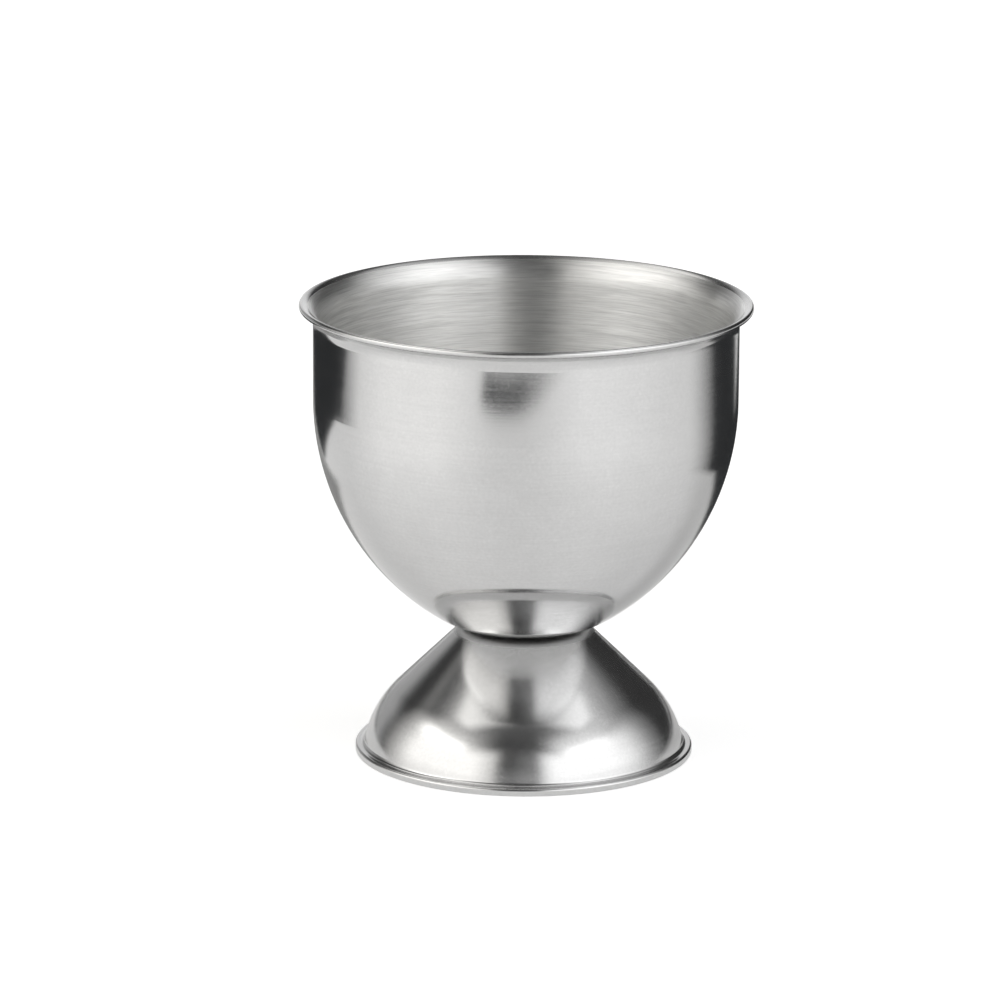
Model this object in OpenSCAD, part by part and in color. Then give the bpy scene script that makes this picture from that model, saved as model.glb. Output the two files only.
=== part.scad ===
// Egg cup in stainless steel sheet: a deep drawn bowl with a flared lip, spot welded to a drawn hollow foot.
// Millimetres, +Z up. The origin is the middle of the face that the foot rests on.
// Both pieces are sheet of even thickness, bent along arcs that run into each other without a corner.

/* [Bowl] */
// Diameter over the outer edge of the lip
rim_d = 50; // [44:0.5:60]
// Height of the bowl, from the face welded to the foot to the top of the lip
bowl_h = 36.9; // [33:0.1:48]
// Thickness of the bowl's sheet
bowl_sheet = 0.65; // [0.45:0.05:0.9]
// How far the edge of the lip stands out from the straight wall
lip_reach = 1.55; // [1.2:0.05:2.2]
// Angle that the lip turns outwards, in degrees from the wall
lip_sweep = 70; // [55:1:80]
// Radius of the outside of the belly, where the straight wall begins to turn in
belly_r = 28.7; // [24:0.1:32]
// Angle that the belly's arc turns through, in degrees
belly_sweep = 57; // [50:1:62]
// Radius of the outside of the bowl's underside
underside_r = 14.5; // [12:0.1:18]
// Angle from the horizontal of the wall's normal where the underside's arc ends, in degrees
underside_end = 72; // [68:1:76]
// Radius of the last outside bend, between the underside and the flat bottom
bottom_bend_r = 8; // [5:0.1:10]

/* [Foot] */
// Diameter over the outer edge of the foot's flange
base_d = 37.6; // [33:0.2:46]
// Height of the foot, from the table to the face that the bowl is welded to
foot_h = 14.1; // [12:0.1:17]
// Thickness of the foot's sheet, which is also the height of the flange's edge
foot_sheet = 0.85; // [0.6:0.05:1.1]
// Width of the flat part of the flange, outside its fillet
flange_flat = 0.55; // [0.4:0.05:1.2]
// Radius of the fillet between the flange's top and the skirt
flange_fillet_r = 0.55; // [0.4:0.05:1.2]
// Tilt of the skirt from the vertical just above the fillet, in degrees
skirt_tilt = 13.3; // [8:0.1:20]
// Radius of the outside of the skirt's rounded lower half
skirt_r = 12.1; // [9:0.1:14]
// Tilt of the straight cone from the vertical, in degrees
cone_tilt = 45.6; // [40:0.1:52]
// Outside radius of the bend between the cone and the flat top
top_bend_r = 1.6; // [1.4:0.1:2.4]
// Radius that breaks the top corner of the flange's edge
edge_r = 0.3; // [0.15:0.05:0.4]

/* [Weld] */
// Diameter of the fused nugget that joins the bowl's bottom to the foot's top
weld_d = 4; // [3:0.1:5]
// Depth of the nugget in each of the two sheets
weld_bite = 0.3; // [0.2:0.05:0.4]

/* [Hidden] */
$fn = 180;
// Largest step along a drawn arc, in degrees
arc_step = 4;

// Bowl, from the lip down to the bottom
wall_r = rim_d / 2 - lip_reach;
lip_mid_r = lip_reach / (1 - cos(lip_sweep));
lip_r = lip_mid_r - bowl_sheet / 2;
top_z = foot_h + bowl_h;
tip = [wall_r + lip_r - lip_mid_r * cos(lip_sweep), top_z - bowl_sheet / 2];
lip_c = [wall_r + lip_r, tip.y - lip_mid_r * sin(lip_sweep)];
underside_c_r = wall_r - belly_r + (belly_r - underside_r) * cos(belly_sweep);
bottom_flat_r = underside_c_r + (underside_r - bottom_bend_r) * cos(underside_end);
bottom_c = [bottom_flat_r, foot_h + bottom_bend_r];
underside_c = bottom_c - (underside_r - bottom_bend_r) * [cos(underside_end), -sin(underside_end)];
belly_c = underside_c - (belly_r - underside_r) * [cos(belly_sweep), -sin(belly_sweep)];

// Foot, from the flange up to the flat top
base_r = base_d / 2;
fillet_c = [base_r - flange_flat, foot_sheet + flange_fillet_r];
skirt_c = fillet_c - (flange_fillet_r + skirt_r) * [cos(skirt_tilt), sin(skirt_tilt)];
cone_foot = skirt_c + skirt_r * [cos(cone_tilt), sin(cone_tilt)];
cone_l = (foot_h - top_bend_r * (1 - sin(cone_tilt)) - cone_foot.y) / cos(cone_tilt);
top_flat_r = cone_foot.x - cone_l * sin(cone_tilt) - top_bend_r * cos(cone_tilt);
top_c = [top_flat_r, foot_h - top_bend_r];

// Points along an arc about c, from angle a0 to a1
function arc(c, r, a0, a1) =
    let (n = ceil(abs(a1 - a0) / arc_step))
    [for (i = [0:n]) c + r * [cos(a0 + (a1 - a0) * i / n), sin(a0 + (a1 - a0) * i / n)]];

function reversed(points) = [for (i = [len(points) - 1:-1:0]) points[i]];

// A line of points with each point that two stretches share kept once
function merged(points) =
    [for (i = [0:len(points) - 1]) if (i == 0 || norm(points[i] - points[i - 1]) > least_edge) points[i]];
least_edge = edge_r / 1000;

// One side of the bowl's sheet in radius and height, at a depth below its outer side
function bowl_side(depth) = concat(
    [[0, foot_h + depth]],
    arc(bottom_c, bottom_bend_r - depth, -90, -underside_end),
    arc(underside_c, underside_r - depth, -underside_end, -belly_sweep),
    arc(belly_c, belly_r - depth, -belly_sweep, 0),
    arc(lip_c, lip_r + depth, 180, 180 - lip_sweep));

// One side of the foot's sheet
function foot_side(depth) = concat(
    [[0, foot_h - depth]],
    arc(top_c, top_bend_r - depth, 90, cone_tilt),
    arc(skirt_c, skirt_r - depth, cone_tilt, skirt_tilt),
    arc(fillet_c, flange_fillet_r + depth, 180 + skirt_tilt, 270));

// The nugget, and the space that it takes up in both sheets
module nugget() {
    translate([0, 0, foot_h - weld_bite]) cylinder(d = weld_d, h = 2 * weld_bite);
}

// Deep drawn bowl that holds the egg, with a rounded edge to its lip
module bowl() {
    rounded_tip = arc(tip, bowl_sheet / 2, -lip_sweep, 180 - lip_sweep);
    color("silver") difference() {
        rotate_extrude() polygon(merged(concat(bowl_side(0), rounded_tip, reversed(bowl_side(bowl_sheet)))));
        nugget();
    }
}

// Hollow foot, open underneath, that rests on its flange
module foot() {
    flange_edge = concat(arc([base_r - edge_r, foot_sheet - edge_r], edge_r, 90, 0), [[base_r, 0]]);
    color("gainsboro") difference() {
        rotate_extrude() polygon(merged(concat(foot_side(0), flange_edge, reversed(foot_side(foot_sheet)))));
        nugget();
    }
}

// Metal fused by the spot weld, half in each sheet
module weld_nugget() {
    color("dimgray") nugget();
}

bowl();
foot();
weld_nugget();
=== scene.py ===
"""A two-piece stainless-steel egg cup, spot-welded bowl to foot, on a white table in soft studio light."""

import math

import bmesh
import bpy
from mathutils import Matrix, Vector


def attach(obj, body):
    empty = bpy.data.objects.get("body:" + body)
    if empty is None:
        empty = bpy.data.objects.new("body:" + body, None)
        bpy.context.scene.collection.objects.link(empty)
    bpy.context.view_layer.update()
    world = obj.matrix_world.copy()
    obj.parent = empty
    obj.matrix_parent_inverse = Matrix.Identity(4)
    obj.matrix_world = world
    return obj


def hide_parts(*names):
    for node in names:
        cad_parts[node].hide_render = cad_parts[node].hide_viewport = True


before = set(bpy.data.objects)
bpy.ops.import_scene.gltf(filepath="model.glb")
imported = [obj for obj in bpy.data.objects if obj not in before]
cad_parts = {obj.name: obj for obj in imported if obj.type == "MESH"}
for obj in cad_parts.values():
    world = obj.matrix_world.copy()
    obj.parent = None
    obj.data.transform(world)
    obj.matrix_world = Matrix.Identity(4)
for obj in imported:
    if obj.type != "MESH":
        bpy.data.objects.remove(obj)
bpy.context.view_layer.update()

MM = 0.001

# Bowl
RIM_D = 50 * MM
BOWL_H = 36.9 * MM
BOWL_SHEET = 0.65 * MM
LIP_REACH = 1.55 * MM
LIP_SWEEP = 70
BELLY_R = 28.7 * MM
BELLY_SWEEP = 57
UNDERSIDE_R = 14.5 * MM
UNDERSIDE_END = 72
BOTTOM_BEND_R = 8 * MM

# Foot. Its flange's edge is rounded above by EDGE_R and below by BURR_R.
BASE_D = 37.6 * MM
FOOT_H = 14.1 * MM
FOOT_SHEET = 0.85 * MM
FLANGE_FLAT = 0.55 * MM
FLANGE_FILLET_R = 0.55 * MM
SKIRT_TILT = 13.3
SKIRT_R = 12.1 * MM
CONE_TILT = 45.6
TOP_BEND_R = 1.6 * MM
EDGE_R = 0.3 * MM
BURR_R = 0.12 * MM

# The inner finish stops this far below the lip's top and above the foot's underside. Between them it covers
# the faces that look towards the axis, and those whose normal stands at least this upright.
INSIDE_STOP = 0.3 * MM
UPRIGHT = 0.9

# Spot weld, and the shallow dent that the welder's tips leave over it
WELD_D = 4 * MM
WELD_DENT = 0.05 * MM

# The crease between the bowl and the foot stays rougher, by this much at the joint and up to this far from it
CREASE_ROUGHNESS = 0.35
CREASE_H = 0.6 * MM

# Steel as it is seen in plain light, and the straw tint that the welder's heat leaves. Inside the bowl the
# same steel is painted lighter, as painted light that brightens the inside.
STEEL = (0.62, 0.62, 0.62)
LIGHTENED_INSIDE_STEEL = (0.88, 0.88, 0.87)
DULL_STEEL = (0.5, 0.49, 0.475)
HEAT_TINT = (0.42, 0.33, 0.24)

# Turns of the grain that spread a reflection round the axis, or up and down
ROUND_AXIS = 0.0
UP_AND_DOWN = 0.25

# The range that holds most of a noise pattern's values, and a wider one
MOST = (0.35, 0.65)
WIDE = (0.3, 0.7)

# Steps of the turned shapes, round the axis and in degrees of arc along the half section
ROUND_STEPS = 256
ARC_STEP = 1.5
FILLET_ARC_STEP = 4.5
EDGE_ARC_STEP = 9
# A straight has a point this close to each of its ends, and points closer together than MERGE become one
HOLD = 0.04 * MM
MERGE = 0.0005 * MM

# Camera, fitted to the photograph: degrees that it looks down, small turns in radians, and its focal length
# as a share of the sensor's width
CAMERA_PLACE = Vector((0, -662.3 * MM, 198.1 * MM))
CAMERA_DOWN = 14.36
CAMERA_YAW = 0.0042
CAMERA_ROLL = 0.0055
FOCAL_SHARE = 6.176
SENSOR = 36
NEAREST_SEEN = 0.05
FARTHEST_SEEN = 20

# Studio, in metres: the table, the sheet of flags just above it, and the dome of the walls
TABLE_SIZE = 4.8
TABLE_WHITE = (0.8, 0.8, 0.8)
FLAGS_SIZE = 0.9
FLAGS_LIFT = 0.4 * MM
WALLS_R = 2.5
WALLS_STEPS = 48

# How much the table is lifted towards white where it is seen, and how much more where the camera sees it
TABLE_LIFT = 0.31
CAMERA_LIFT = 0.25

# Lights of the studio, hidden from the camera: (name, colour, strength, edges). The edges are (left, left
# fade, right, right fade, low, low fade, high, high fade), and FAR stands for no edge. On the walls they are
# degrees: 0 is towards the camera, above zero is to its right, and low and high are elevations.
FAR = 1e4
WARM = (1.0, 0.985, 0.955)
NEUTRAL = (1.0, 1.0, 1.0)
WALL_BASE = 0.04
WALL_LIGHTS = (
    ("left softbox", WARM, 0.85, (-99, 14, -29, 18, 2, 24, 36, 10)),
    ("left softbox core", WARM, 1.8, (-98, 16, -54, 16, 33, 6, 40, 6)),
    ("left wall, lower part", WARM, 0.75, (-116, 20, -20.5, 4, -FAR, 1, 40, 8)),
    ("left wall, upper part", WARM, 0.65, (-96, 30, -40, 24, 40, 8, 46, 10)),
    ("left wall over the softbox", WARM, 0.5, (-98, 20, -42, 36, 42, 8, 59, 12)),
    ("right softbox", NEUTRAL, 0.85, (17, 10, 92, 40, 2, 24, 36, 10)),
    ("right softbox core", NEUTRAL, 1.1, (38, 14, 74, 20, 33, 6, 41, 6)),
    ("right wall, lower part", NEUTRAL, 0.75, (12.5, 4, 108, 40, -FAR, 1, 40, 8)),
    ("right wall, upper part", NEUTRAL, 1.0, (24, 18, 96, 60, 40, 8, 50, 12)),
    ("right wall over the softbox", NEUTRAL, 0.5, (32, 36, 110, 30, 47, 10, 62, 12)),
    ("foot of the gap", NEUTRAL, 0.15, (-22, 6, 13, 5, 5, 8, 20, 12)),
    ("right part of the gap", NEUTRAL, 0.12, (-5, 5, 14, 6, -FAR, 1, 40, 12)),
    ("haze in the gap", NEUTRAL, 0.03, (-70, 40, 70, 40, -FAR, 1, 75, 10)),
)
# On the rear wall 0 degrees is away from the camera
REAR_LIGHTS = (
    ("rear wall", NEUTRAL, 0.45, (-16, 8, 12, 5, -FAR, 1, 28, 10)),
    ("rear wall, left part", NEUTRAL, 0.42, (-50, 16, 12, 5, -FAR, 1, 20, 10)),
)
# On the table low and high are distances from the axis in mm
TABLE_LIGHTS = (
    ("left pool", WARM, 0.3, (-90, 30, -29, 30, 70, 130, FAR, 1)),
    ("right pool", NEUTRAL, 0.24, (16, 26, 73, 60, 70, 130, FAR, 1)),
    ("shade of the right flag", NEUTRAL, -0.2, (104, 20, 150, 10, -FAR, 1, 95, 10)),
)
# Overhead the edges are reaches to the right and to the back, in shares of the height
OVERHEAD_LIGHTS = (
    ("left panel overhead", WARM, 1.15, (-0.68, 0.1, -0.2, 0.3, -0.3, 0.22, 1.1, 0.3)),
    ("right panel overhead", NEUTRAL, 1.05, (0.2, 0.3, 0.68, 0.1, -0.3, 0.22, 0.4, 0.2)),
    ("right rear panel overhead", NEUTRAL, 0.6, (0.2, 0.3, 0.9, 0.2, 0.4, 0.2, 0.9, 0.3)),
    ("ceiling", NEUTRAL, 0.05, (-1.0, 0.3, 1.0, 0.3, -0.6, 0.3, 1.4, 0.4)),
)

# Flags and a grey card that lie on the table. Their edges are in the order of the lights' edges, in mm to the
# right and to the back, or in degrees and mm from the axis. The front flag's edges across it slant.
FLAG = (0.045, 0.047, 0.05)
GREY_CARD = (0.45, 0.45, 0.45)
ACROSS_BACK_FLAGS = (
    (-FAR, 1, -160, 6, 62, 16, 260, 20),
    (-161, 2, -66, 8, 82, 8, 260, 20),
    (30, 10, 88, 4, 50, 12, 260, 20),
)
ANGLE_REACH_FLAGS = (
    (-150, 10, -105, 18, 174, 10, 300, 20),
    (106, 22, 150, 8, 90, 8, 300, 20),
)
FRONT_FLAG = (-82, 3, 40, 100, -234, 20, -206, 8)
FRONT_FLAG_SLANT = 0.17
FRONT_FLAG_DEPTH = 0.96
GREY_CARD_EDGES = (-66, 10, 34, 10, 48, 10, 260, 20)


def polar(centre, radius, degrees):
    """The point of the half section at an angle on a circle."""
    angle = math.radians(degrees)
    return Vector((centre[0] + radius * math.cos(angle), centre[1] + radius * math.sin(angle)))


class HalfSection:
    """A half section drawn from the axis outwards, by a vertex pulled along straights and round bends."""

    def __init__(self, r, z):
        self.bm = bmesh.new()
        self.tip = self.bm.verts.new((r, 0, z))

    def at(self):
        """Where the drawing has got to."""
        return Vector((self.tip.co.x, self.tip.co.z))

    def step(self, r, z):
        """The next point, joined to the last one."""
        made = bmesh.ops.extrude_vert_indiv(self.bm, verts=[self.tip])
        self.tip = made["verts"][0]
        self.tip.co = (r, 0, z)

    def straight(self, r, z):
        """A straight line, with a point close to each end that holds the shading of the bends next to it."""
        start = self.at()
        run = Vector((r, z)) - start
        for share in (HOLD / run.length, 0.5, 1 - HOLD / run.length, 1):
            self.step(*(start + run * share))

    def bend(self, centre, degrees, step=ARC_STEP):
        """An arc round a centre, anticlockwise when degrees is above zero."""
        made = bmesh.ops.spin(
            self.bm,
            geom=[self.tip],
            cent=(centre[0], 0, centre[1]),
            axis=(0, -1, 0),
            angle=math.radians(degrees),
            steps=max(2, math.ceil(abs(degrees) / step)),
            use_duplicate=False,
        )
        self.tip = next(v for v in made["geom_last"] if isinstance(v, bmesh.types.BMVert))

    def turned(self, name):
        """The closed sheet that the half section makes when it goes round the axis once."""
        bm = self.bm
        bmesh.ops.spin(
            bm,
            geom=bm.verts[:] + bm.edges[:],
            cent=(0, 0, 0),
            axis=(0, 0, 1),
            angle=math.tau,
            steps=ROUND_STEPS,
            use_merge=True,
            use_duplicate=False,
        )
        bmesh.ops.remove_doubles(bm, verts=bm.verts, dist=MERGE)
        bmesh.ops.recalc_face_normals(bm, faces=bm.faces)
        for face in bm.faces:
            face.smooth = True
        return placed(bm, name)


def placed(bm, name):
    """The object that a finished bmesh makes, in the scene."""
    mesh = bpy.data.meshes.new(name)
    bm.to_mesh(mesh)
    bm.free()
    made = bpy.data.objects.new(name, mesh)
    bpy.context.scene.collection.objects.link(made)
    return made


def bowl_shape():
    """The bowl: flat bottom, underside, belly, upright wall, rolled-out lip, and the same way back inside."""
    wall_r = RIM_D / 2 - LIP_REACH
    lip_mid_r = LIP_REACH / (1 - math.cos(math.radians(LIP_SWEEP)))
    lip_r = lip_mid_r - BOWL_SHEET / 2
    lip_c = Vector((wall_r + lip_r, 0))
    tip = polar(lip_c, lip_mid_r, 180 - LIP_SWEEP)
    lip_c.y = FOOT_H + BOWL_H - BOWL_SHEET / 2 - tip.y
    tip.y += lip_c.y
    down = math.radians(UNDERSIDE_END)
    belly_end = math.radians(BELLY_SWEEP)
    underside_c_r = wall_r - BELLY_R + (BELLY_R - UNDERSIDE_R) * math.cos(belly_end)
    bottom_flat_r = underside_c_r + (UNDERSIDE_R - BOTTOM_BEND_R) * math.cos(down)
    bottom_c = Vector((bottom_flat_r, FOOT_H + BOTTOM_BEND_R))
    underside_c = bottom_c - (UNDERSIDE_R - BOTTOM_BEND_R) * Vector((math.cos(down), -math.sin(down)))
    belly_c = underside_c - (BELLY_R - UNDERSIDE_R) * Vector((math.cos(belly_end), -math.sin(belly_end)))

    section = HalfSection(0, FOOT_H)
    section.straight(bottom_flat_r, FOOT_H)
    section.bend(bottom_c, 90 - UNDERSIDE_END)
    section.bend(underside_c, UNDERSIDE_END - BELLY_SWEEP)
    section.bend(belly_c, BELLY_SWEEP)
    section.straight(wall_r, lip_c.y)
    section.bend(lip_c, -LIP_SWEEP)
    section.bend(tip, 180, EDGE_ARC_STEP)
    section.bend(lip_c, LIP_SWEEP)
    section.straight(wall_r - BOWL_SHEET, belly_c.y)
    section.bend(belly_c, -BELLY_SWEEP)
    section.bend(underside_c, BELLY_SWEEP - UNDERSIDE_END)
    section.bend(bottom_c, UNDERSIDE_END - 90)
    section.straight(0, FOOT_H + BOWL_SHEET)
    return section.turned("bowl_shell")


def foot_shape():
    """The foot: flat top, cone, rounded skirt and the flange that it stands on, open below."""
    skirt = math.radians(SKIRT_TILT)
    cone = math.radians(CONE_TILT)
    fillet_c = Vector((BASE_D / 2 - FLANGE_FLAT, FOOT_SHEET + FLANGE_FILLET_R))
    skirt_c = fillet_c - (FLANGE_FILLET_R + SKIRT_R) * Vector((math.cos(skirt), math.sin(skirt)))
    cone_foot = skirt_c + SKIRT_R * Vector((math.cos(cone), math.sin(cone)))
    cone_l = (FOOT_H - TOP_BEND_R * (1 - math.sin(cone)) - cone_foot.y) / math.cos(cone)
    top_flat_r = cone_foot.x - cone_l * math.sin(cone) - TOP_BEND_R * math.cos(cone)
    top_c = Vector((top_flat_r, FOOT_H - TOP_BEND_R))
    edge_c = Vector((BASE_D / 2 - EDGE_R, FOOT_SHEET - EDGE_R))
    inner_cone_top = polar(top_c, TOP_BEND_R - FOOT_SHEET, CONE_TILT)

    section = HalfSection(0, FOOT_H)
    section.straight(top_flat_r, FOOT_H)
    section.bend(top_c, CONE_TILT - 90)
    section.straight(*cone_foot)
    section.bend(skirt_c, SKIRT_TILT - CONE_TILT)
    section.bend(fillet_c, 90 - SKIRT_TILT, FILLET_ARC_STEP)
    section.straight(edge_c.x, FOOT_SHEET)
    section.bend(edge_c, -90, EDGE_ARC_STEP)
    section.straight(BASE_D / 2, BURR_R)
    section.bend((BASE_D / 2 - BURR_R, BURR_R), -90, EDGE_ARC_STEP)
    section.straight(fillet_c.x, 0)
    section.bend(fillet_c, SKIRT_TILT - 90, FILLET_ARC_STEP)
    section.bend(skirt_c, CONE_TILT - SKIRT_TILT)
    section.straight(*inner_cone_top)
    section.bend(top_c, 90 - CONE_TILT)
    section.straight(0, FOOT_H - FOOT_SHEET)
    return section.turned("foot_shell")


def finish_inside(piece, up, low, high):
    """Gives the second finish to the inner faces between two heights. Level ones look up (1) or down (-1)."""
    for face in piece.data.polygons:
        centre, normal = face.center, face.normal
        towards_axis = centre.x * normal.x + centre.y * normal.y < 0
        level = normal.z * up > UPRIGHT
        face.material_index = 1 if low < centre.z < high and (towards_axis or level) else 0


class Nodes:
    """Short ways to place nodes in one tree and join them."""

    def __init__(self, tree):
        self.tree = tree

    def put(self, kind, **settings):
        """A new shader node with its settings."""
        node = self.tree.nodes.new("ShaderNode" + kind)
        for name, value in settings.items():
            setattr(node, name, value)
        return node

    def feed(self, socket, value):
        """Joins a socket to another one, or sets it to a plain value."""
        if isinstance(value, bpy.types.NodeSocket):
            self.tree.links.new(value, socket)
        else:
            socket.default_value = value

    def calc(self, operation, *values, clamp=False):
        """The result of a Math node."""
        node = self.put("Math", operation=operation, use_clamp=clamp)
        for socket, value in zip(node.inputs, values):
            self.feed(socket, value)
        return node.outputs[0]

    def vector(self, operation, *values):
        """The result of a Vector Math node."""
        node = self.put("VectorMath", operation=operation)
        for socket, value in zip(node.inputs, values):
            self.feed(socket, value)
        return node.outputs[0]

    def ramp(self, value, start, end, low=0.0, high=1.0):
        """Value carried from start..end to low..high, held at both ends."""
        node = self.put("MapRange", clamp=True)
        names = ("Value", "From Min", "From Max", "To Min", "To Max")
        for name, number in zip(names, (value, start, end, low, high)):
            self.feed(node.inputs[name], number)
        return node.outputs["Result"]

    def split(self, vector):
        """The three parts of a vector."""
        node = self.put("SeparateXYZ")
        self.feed(node.inputs[0], vector)
        return node.outputs

    def join(self, x, y, z):
        """The vector with three parts."""
        node = self.put("CombineXYZ")
        for socket, value in zip(node.inputs, (x, y, z)):
            self.feed(socket, value)
        return node.outputs[0]

    def noise(self, place, scale, detail, roughness=0.5):
        """A noise pattern from 0 to 1."""
        node = self.put("TexNoise")
        for name, value in zip(("Vector", "Scale", "Detail", "Roughness"), (place, scale, detail, roughness)):
            self.feed(node.inputs[name], value)
        return node.outputs["Fac"]

    def mix(self, share, first, second):
        """A colour that goes from the first to the second as the share goes from 0 to 1."""
        node = self.put("Mix", data_type="RGBA")
        for name, value in zip(("Factor", "A", "B"), (share, first, second)):
            self.feed(node.inputs[name], value)
        return node.outputs["Result"]

    def group(self, tree, *values, **named):
        """A node group with its inputs set in their order, or by their names in small letters."""
        node = self.put("Group", node_tree=tree)
        for socket, value in zip(node.inputs, values):
            self.feed(socket, value)
        for name, value in named.items():
            self.feed(node.inputs[name.capitalize()], value)
        return node.outputs

    def reach(self, x, y):
        """Distance from the axis."""
        return self.calc("SQRT", self.calc("ADD", self.calc("MULTIPLY", x, x), self.calc("MULTIPLY", y, y)))

    def relief(self, *layers):
        """The normal over a relief of patterns, each a (pattern, depth in metres)."""
        height = 0.0
        for pattern, depth in layers:
            height = self.calc("MULTIPLY_ADD", pattern, depth, height)
        node = self.put("Bump")
        for name, value in zip(("Height", "Strength", "Distance"), (height, 1, 1)):
            self.feed(node.inputs[name], value)
        return node.outputs["Normal"]


def new_group(name, inputs, outputs):
    """An empty node group with named inputs and outputs, each a (name, kind) or (name, kind, value)."""
    tree = bpy.data.node_groups.new(name, "ShaderNodeTree")
    for in_out, sockets in (("INPUT", inputs), ("OUTPUT", outputs)):
        for socket_name, kind, *value in sockets:
            socket = tree.interface.new_socket(socket_name, in_out=in_out, socket_type="NodeSocket" + kind)
            if value:
                socket.default_value = value[0]
    return Nodes(tree), tree.nodes.new("NodeGroupInput"), tree.nodes.new("NodeGroupOutput")


def circular_brushing_group():
    """Fine lines that run round the axis, as an abrasive pad leaves them on a spinning piece."""
    nearest_r = 0.1 * MM
    nodes, given, out = new_group(
        "Circular brushing",
        [("Place", "Vector"), ("Lines", "Float", 4000.0), ("Breaks", "Float", 3.0), ("Waver", "Float", 0.0)],
        [("Streaks", "Float")],
    )
    place = given.outputs["Place"]
    breaks = given.outputs["Breaks"]
    x, y, z = nodes.split(place)
    radius = nodes.calc("MAXIMUM", nodes.reach(x, y), nearest_r)
    drift = nodes.calc("MULTIPLY", nodes.noise(place, scale=60, detail=1), given.outputs["Waver"])
    along = nodes.calc("ADD", nodes.calc("ADD", z, radius), drift)
    line = nodes.join(
        nodes.calc("MULTIPLY", nodes.calc("DIVIDE", x, radius), breaks),
        nodes.calc("MULTIPLY", nodes.calc("DIVIDE", y, radius), breaks),
        nodes.calc("MULTIPLY", along, given.outputs["Lines"]),
    )
    nodes.feed(out.inputs["Streaks"], nodes.noise(line, scale=1, detail=3, roughness=0.6))
    return nodes.tree


def weld_mark_group():
    """The round mark that a spot welder's tip leaves on the axis: a shallow dent in a tinted ring."""
    wobble = 0.06
    dent_edge = (0.82, 1.0)
    ring_inner_edge = (0.7, 1.05)
    ring_outer_edge = (1.1, 1.7)
    nodes, given, out = new_group(
        "Weld mark",
        [("Place", "Vector"), ("Radius", "Float", 2 * MM)],
        [("Dent", "Float"), ("Tint", "Float")],
    )
    place = given.outputs["Place"]
    x, y, _ = nodes.split(place)
    share = nodes.calc("DIVIDE", nodes.reach(x, y), given.outputs["Radius"])
    uneven = nodes.ramp(nodes.noise(place, scale=900, detail=2), *WIDE, low=-wobble, high=wobble)
    share = nodes.calc("ADD", share, uneven)
    nodes.feed(out.inputs["Dent"], nodes.ramp(share, *dent_edge, low=1, high=0))
    ring_inside = nodes.ramp(share, *ring_inner_edge)
    ring_outside = nodes.ramp(share, *ring_outer_edge, low=1, high=0)
    nodes.feed(out.inputs["Tint"], nodes.calc("MULTIPLY", ring_inside, ring_outside))
    return nodes.tree


def grain_group():
    """The fine uneven grain of rolled sheet, with sparse light marks from handling."""
    fine_share = 0.7
    broad_scale = 0.12
    nodes, given, out = new_group(
        "Sheet grain",
        [("Place", "Vector"), ("Scale", "Float", 1500.0)],
        [("Grain", "Float"), ("Marks", "Float")],
    )
    place = given.outputs["Place"]
    scale = given.outputs["Scale"]
    fine = nodes.noise(place, scale, detail=3, roughness=0.6)
    broad = nodes.noise(place, nodes.calc("MULTIPLY", scale, broad_scale), detail=2)
    broad_part = nodes.calc("MULTIPLY", broad, 1 - fine_share)
    nodes.feed(out.inputs["Grain"], nodes.calc("MULTIPLY_ADD", fine, fine_share, broad_part))
    marks = nodes.calc("MULTIPLY", nodes.ramp(fine, 0.6, 0.72), nodes.ramp(broad, 0.45, 0.6))
    nodes.feed(out.inputs["Marks"], marks)
    return nodes.tree


def steel(name, colour, roughness, anisotropic=0.0, turn=ROUND_AXIS):
    """A plain steel, with its grain along a tangent that runs round the axis. The finishes vary it."""
    material = bpy.data.materials.new(name)
    material.use_nodes = True
    nodes = Nodes(material.node_tree)
    shader = material.node_tree.nodes["Principled BSDF"]
    shader.inputs["Metallic"].default_value = 1
    shader.inputs["Base Color"].default_value = (*colour, 1)
    shader.inputs["Roughness"].default_value = roughness
    shader.inputs["Anisotropic"].default_value = anisotropic
    shader.inputs["Anisotropic Rotation"].default_value = turn
    place = nodes.put("TexCoord").outputs["Object"]
    around = nodes.vector("CROSS_PRODUCT", (0, 0, 1), place)
    nodes.feed(shader.inputs["Tangent"], nodes.vector("NORMALIZE", around))
    return material, nodes, shader, place


def coloured(nodes, shader, colour, lightness, tint=0.0):
    """Base colour that grows lighter and darker over the surface, and turns towards the heat tint."""
    varied = nodes.put("VectorMath", operation="SCALE")
    nodes.feed(varied.inputs["Vector"], colour)
    nodes.feed(varied.inputs["Scale"], lightness)
    shade = nodes.mix(tint, varied.outputs["Vector"], (*HEAT_TINT, 1))
    nodes.feed(shader.inputs["Base Color"], shade)


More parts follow.
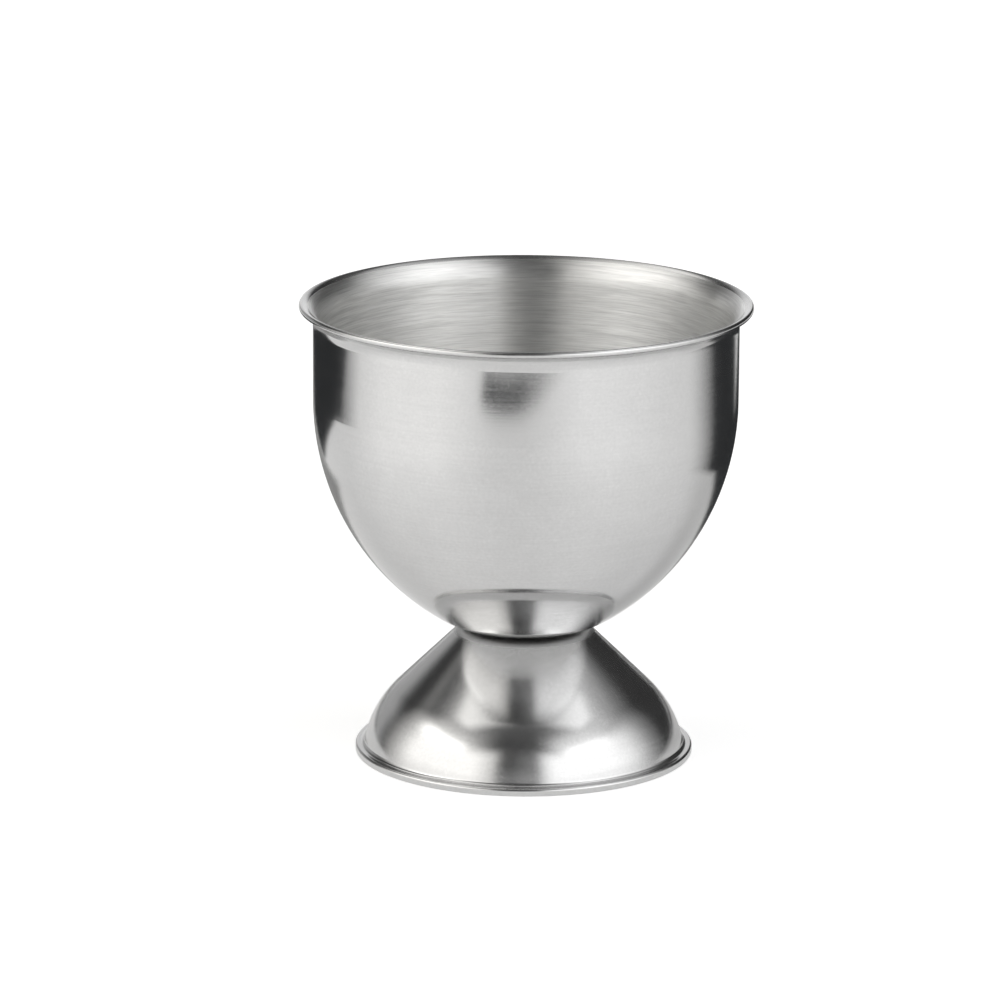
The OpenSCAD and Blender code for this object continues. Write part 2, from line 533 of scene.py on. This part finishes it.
def polished_steel(name, brushing, grain, smooth, spread):
    """An outside polished on a wheel, which can't reach into the crease between the bowl and the foot.

    Smooth is its roughness, and spread is how far it draws reflections out round the axis.
    """
    relief_depth = 0.0003 * MM
    material, nodes, shader, place = steel(name, STEEL, roughness=smooth, anisotropic=spread)
    lines = nodes.group(brushing, place=place, lines=3500, breaks=2, waver=0.0006)["Streaks"]
    speckle, marks = nodes.group(grain, place=place, scale=3000)
    _, _, z = nodes.split(place)
    off_joint = nodes.calc("ABSOLUTE", nodes.calc("SUBTRACT", z, FOOT_H))
    crease = nodes.ramp(off_joint, 0, CREASE_H, low=CREASE_ROUGHNESS, high=0)
    roughness = nodes.calc("ADD", crease, nodes.ramp(lines, *WIDE, low=smooth - 0.015, high=smooth + 0.01))
    roughness = nodes.calc("ADD", roughness, nodes.ramp(speckle, 0.4, 0.62, low=0, high=0.015))
    nodes.feed(shader.inputs["Roughness"], nodes.calc("MULTIPLY_ADD", marks, 0.02, roughness))
    line_light = nodes.ramp(lines, *WIDE, low=0.98, high=1.02)
    speckle_light = nodes.ramp(speckle, *MOST, low=0.965, high=1.035)
    lightness = nodes.calc("MULTIPLY", line_light, speckle_light)
    coloured(nodes, shader, STEEL, nodes.calc("MULTIPLY_ADD", marks, 0.03, lightness))
    nodes.feed(shader.inputs["Normal"], nodes.relief((lines, relief_depth), (speckle, relief_depth)))
    return material


def brushed_steel(brushing, weld_mark):
    """The inside of the bowl: brushed round the axis, so that reflections smear up and down. Its steel is
    painted lighter than the outside's, as painted light.
    """
    tint_strength = 0.4
    material, nodes, shader, place = steel(
        "brushed_steel", LIGHTENED_INSIDE_STEEL, roughness=0.35, anisotropic=1.0, turn=UP_AND_DOWN
    )
    coarse = nodes.group(brushing, place=place, lines=2600, breaks=1.4, waver=0.0003)["Streaks"]
    fine = nodes.group(brushing, place=place, lines=7000, breaks=6, waver=0.0003)["Streaks"]
    dent, tint = nodes.group(weld_mark, place=place, radius=WELD_D / 2)
    nodes.feed(shader.inputs["Roughness"], nodes.ramp(coarse, *MOST, low=0.33, high=0.37))
    coarse_light = nodes.ramp(coarse, *MOST, low=0.9, high=1.08)
    fine_light = nodes.ramp(fine, *MOST, low=0.88, high=1.1)
    lightness = nodes.calc("MULTIPLY", coarse_light, fine_light)
    # The base colour is the steel painted lighter inside the bowl: painted light
    coloured(nodes, shader, LIGHTENED_INSIDE_STEEL, lightness, nodes.calc("MULTIPLY", tint, tint_strength))
    normal = nodes.relief((coarse, 0.02 * MM), (fine, 0.01 * MM), (dent, -WELD_DENT))
    nodes.feed(shader.inputs["Normal"], normal)
    return material


def pressed_steel(grain, weld_mark):
    """The inside of the foot: satin sheet as it leaves the press, with the welder's mark at its top."""
    tint_strength = 0.7
    material, nodes, shader, place = steel("pressed_steel", STEEL, roughness=0.38, anisotropic=0.3)
    speckle, marks = nodes.group(grain, place=place, scale=900)
    dent, tint = nodes.group(weld_mark, place=place, radius=WELD_D / 2)
    satin = nodes.ramp(speckle, *MOST, low=0.34, high=0.44)
    nodes.feed(shader.inputs["Roughness"], nodes.calc("MULTIPLY_ADD", marks, -0.08, satin))
    lightness = nodes.ramp(speckle, *MOST, low=0.93, high=1.05)
    coloured(nodes, shader, STEEL, lightness, nodes.calc("MULTIPLY", tint, tint_strength))
    nodes.feed(shader.inputs["Normal"], nodes.relief((speckle, 0.012 * MM), (dent, WELD_DENT)))
    return material


def weld_steel(grain):
    """The weld nugget: steel that melted and set again, dull and blotched with the tint of the heat."""
    material, nodes, shader, place = steel("weld_steel", DULL_STEEL, roughness=0.5)
    speckle, marks = nodes.group(grain, place=place, scale=2600)
    nodes.feed(shader.inputs["Roughness"], nodes.ramp(speckle, *MOST, low=0.42, high=0.6))
    blotches = nodes.ramp(speckle, 0.4, 0.6, low=0, high=0.8)
    coloured(nodes, shader, DULL_STEEL, nodes.ramp(marks, 0, 1, low=1.0, high=1.1), blotches)
    nodes.feed(shader.inputs["Normal"], nodes.relief((speckle, 0.03 * MM), (marks, 0.01 * MM)))
    return material


def build_cup():
    """The bowl and the foot in the places of their CAD solids, and the weld nugget's finish."""
    brushing = circular_brushing_group()
    grain = grain_group()
    weld_mark = weld_mark_group()

    bowl = bowl_shape()
    bright = polished_steel("bright_polished_steel", brushing, grain, smooth=0.1, spread=0.9)
    bowl.data.materials.append(bright)
    bowl.data.materials.append(brushed_steel(brushing, weld_mark))
    finish_inside(bowl, 1, FOOT_H + BOWL_SHEET / 2, FOOT_H + BOWL_H - INSIDE_STOP)

    foot = foot_shape()
    soft = polished_steel("soft_polished_steel", brushing, grain, smooth=0.16, spread=0.5)
    foot.data.materials.append(soft)
    foot.data.materials.append(pressed_steel(grain, weld_mark))
    finish_inside(foot, -1, INSIDE_STOP, FOOT_H - FOOT_SHEET / 2)

    for piece, node in ((bowl, "bowl"), (foot, "foot")):
        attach(piece, "root")
        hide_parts(node)

    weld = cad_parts["weld_nugget"]
    weld.data.materials.clear()
    weld.data.materials.append(weld_steel(grain))


def soft_window_group():
    """A lit rectangle in any two coordinates, whose four edges fade."""
    edges = ("Left", "Left Fade", "Right", "Right Fade", "Low", "Low Fade", "High", "High Fade")
    inputs = [(name, "Float") for name in ("Across", "Up", *edges)]
    nodes, given, out = new_group("Soft window", inputs, [("Light", "Float")])
    light = 1.0
    for place, low, high in (("Across", "Left", "Right"), ("Up", "Low", "High")):
        for edge, sign in ((low, 1), (high, -1)):
            inside = nodes.calc("SUBTRACT", given.outputs[place], given.outputs[edge])
            inside = nodes.calc("DIVIDE", nodes.calc("MULTIPLY", inside, sign), given.outputs[edge + " Fade"])
            light = nodes.calc("MULTIPLY", light, nodes.calc("ADD", inside, 0.5, clamp=True))
    nodes.feed(out.inputs["Light"], light)
    return nodes.tree


def add_lights(nodes, window, total, across, up, lights):
    """The total colour with the lights of a list added to it."""
    for _, colour, strength, edges in lights:
        light = nodes.group(window, across, up, *edges)["Light"]
        total = nodes.vector("MULTIPLY_ADD", light, [strength * part for part in colour], total)
    return total


def direction(nodes, x, y):
    """Degrees from the camera's side, and above zero to its right."""
    return nodes.calc("DEGREES", nodes.calc("ARCTAN2", x, nodes.calc("MULTIPLY", y, -1)))


def in_mm(nodes, length):
    """A length in metres turned into mm."""
    return nodes.calc("DIVIDE", length, MM)


def seen_directly(nodes, path):
    """1 for rays from the camera, a reflection or a see-through piece, 0 for light that falls on things."""
    seen = nodes.calc("MAXIMUM", path.outputs["Is Camera Ray"], path.outputs["Is Glossy Ray"])
    return nodes.calc("MAXIMUM", seen, path.outputs["Is Transmission Ray"])


def matt(name, colour):
    """A material without gloss, with its nodes and its shader."""
    material = bpy.data.materials.new(name)
    material.use_nodes = True
    shader = material.node_tree.nodes["Principled BSDF"]
    shader.inputs["Base Color"].default_value = (*colour, 1)
    shader.inputs["Roughness"].default_value = 1
    shader.inputs["Specular IOR Level"].default_value = 0
    return material, Nodes(material.node_tree), shader


def table_material(window):
    """White table, lifted to white where it is seen. Its shadows stay, and reflections see pools of light."""
    material, nodes, shader = matt("white_table", TABLE_WHITE)
    shader.inputs["Emission Strength"].default_value = 1
    x, y, _ = nodes.split(nodes.put("TexCoord").outputs["Object"])
    path = nodes.put("LightPath")
    lift = nodes.calc("MULTIPLY", seen_directly(nodes, path), TABLE_LIFT)
    lift = nodes.calc("MULTIPLY_ADD", path.outputs["Is Camera Ray"], CAMERA_LIFT, lift)
    reach = in_mm(nodes, nodes.reach(x, y))
    pools = add_lights(nodes, window, (0, 0, 0), direction(nodes, x, y), reach, TABLE_LIGHTS)
    lit = nodes.vector("MULTIPLY_ADD", path.outputs["Is Glossy Ray"], pools, nodes.join(lift, lift, lift))
    nodes.feed(shader.inputs["Emission Color"], lit)
    return material


def flags_material(window):
    """Dark flags and a grey card with soft edges that lie on the table, clear everywhere else."""
    material, nodes, shader = matt("dark_flags", FLAG)
    x, y, _ = nodes.split(nodes.put("TexCoord").outputs["Object"])
    across = in_mm(nodes, x)
    back = in_mm(nodes, y)
    reach = in_mm(nodes, nodes.reach(x, y))
    angle = direction(nodes, x, y)
    slanted = nodes.calc("MULTIPLY_ADD", across, FRONT_FLAG_SLANT, back)
    dark = nodes.group(window, across, slanted, *FRONT_FLAG)["Light"]
    dark = nodes.calc("MULTIPLY", dark, FRONT_FLAG_DEPTH)
    for edges in ACROSS_BACK_FLAGS:
        dark = nodes.calc("MAXIMUM", dark, nodes.group(window, across, back, *edges)["Light"])
    for edges in ANGLE_REACH_FLAGS:
        dark = nodes.calc("MAXIMUM", dark, nodes.group(window, angle, reach, *edges)["Light"])
    grey = nodes.group(window, across, back, *GREY_CARD_EDGES)["Light"]
    nodes.feed(shader.inputs["Base Color"], nodes.mix(dark, (*GREY_CARD, 1), (*FLAG, 1)))
    nodes.feed(shader.inputs["Alpha"], nodes.calc("MAXIMUM", dark, grey))
    return material


def walls_material(window):
    """The studio as the steel sees it: softboxes, a dim gap between them, a rear wall and panels overhead."""
    least_height = 0.001
    material = bpy.data.materials.new("studio_walls")
    material.use_nodes = True
    tree = material.node_tree
    tree.nodes.remove(tree.nodes["Principled BSDF"])
    nodes = Nodes(tree)
    x, y, z = nodes.split(nodes.put("TexCoord").outputs["Object"])
    rear_angle = nodes.calc("DEGREES", nodes.calc("ARCTAN2", x, y))
    elevation = nodes.calc("DEGREES", nodes.calc("ARCTAN2", z, nodes.reach(x, y)))
    total = add_lights(nodes, window, [WALL_BASE] * 3, direction(nodes, x, y), elevation, WALL_LIGHTS)
    total = add_lights(nodes, window, total, rear_angle, elevation, REAR_LIGHTS)
    above = nodes.calc("MAXIMUM", z, least_height)
    across = nodes.calc("DIVIDE", x, above)
    back = nodes.calc("DIVIDE", y, above)
    total = add_lights(nodes, window, total, across, back, OVERHEAD_LIGHTS)
    glow = nodes.put("Emission")
    nodes.feed(glow.inputs["Color"], total)
    nodes.feed(tree.nodes["Material Output"].inputs["Surface"], glow.outputs[0])
    return material


def stage_sheet(name, size, height, material):
    """A flat square of the studio, centred on the axis."""
    bm = bmesh.new()
    bmesh.ops.create_grid(bm, x_segments=1, y_segments=1, size=size / 2)
    bmesh.ops.translate(bm, verts=bm.verts, vec=(0, 0, height))
    sheet = placed(bm, name)
    sheet.data.materials.append(material)
    return sheet


def build_studio():
    """The table, and the flags and walls that the steel reflects and the camera doesn't see."""
    window = soft_window_group()
    stage_sheet("table", TABLE_SIZE, 0, table_material(window))
    flags = stage_sheet("flags", FLAGS_SIZE, FLAGS_LIFT, flags_material(window))
    bm = bmesh.new()
    bmesh.ops.create_uvsphere(bm, u_segments=WALLS_STEPS, v_segments=WALLS_STEPS // 2, radius=WALLS_R)
    walls = placed(bm, "studio_walls")
    walls_paint = walls_material(window)
    # Only rays that bounce off something find the walls, which keeps the render quick
    walls_paint.cycles.emission_sampling = "NONE"
    walls.data.materials.append(walls_paint)
    for hidden in (walls, flags):
        hidden.visible_camera = False
    flags.visible_shadow = False
    flags.visible_diffuse = False


def white_world():
    """A background that is white where it is seen and gives no light."""
    world = bpy.data.worlds.new("white_background")
    world.use_nodes = True
    nodes = Nodes(world.node_tree)
    background = world.node_tree.nodes["Background"]
    background.inputs["Color"].default_value = (1, 1, 1, 1)
    nodes.feed(background.inputs["Strength"], seen_directly(nodes, nodes.put("LightPath")))
    bpy.context.scene.world = world


def aim_camera():
    """The camera where the photograph was taken from."""
    data = bpy.data.cameras.new("camera")
    data.sensor_width = SENSOR
    data.lens = FOCAL_SHARE * SENSOR
    data.clip_start = NEAREST_SEEN
    data.clip_end = FARTHEST_SEEN
    camera = bpy.data.objects.new("camera", data)
    tilt = Matrix.Rotation(math.radians(90 - CAMERA_DOWN), 4, "X")
    turn = Matrix.Rotation(CAMERA_YAW, 4, "Z")
    roll = Matrix.Rotation(CAMERA_ROLL, 4, "Z")
    camera.matrix_world = Matrix.Translation(CAMERA_PLACE) @ turn @ tilt @ roll
    bpy.context.scene.collection.objects.link(camera)
    bpy.context.scene.camera = camera


build_cup()
build_studio()
white_world()
aim_camera()
bpy.context.scene.view_settings.view_transform = "Standard"
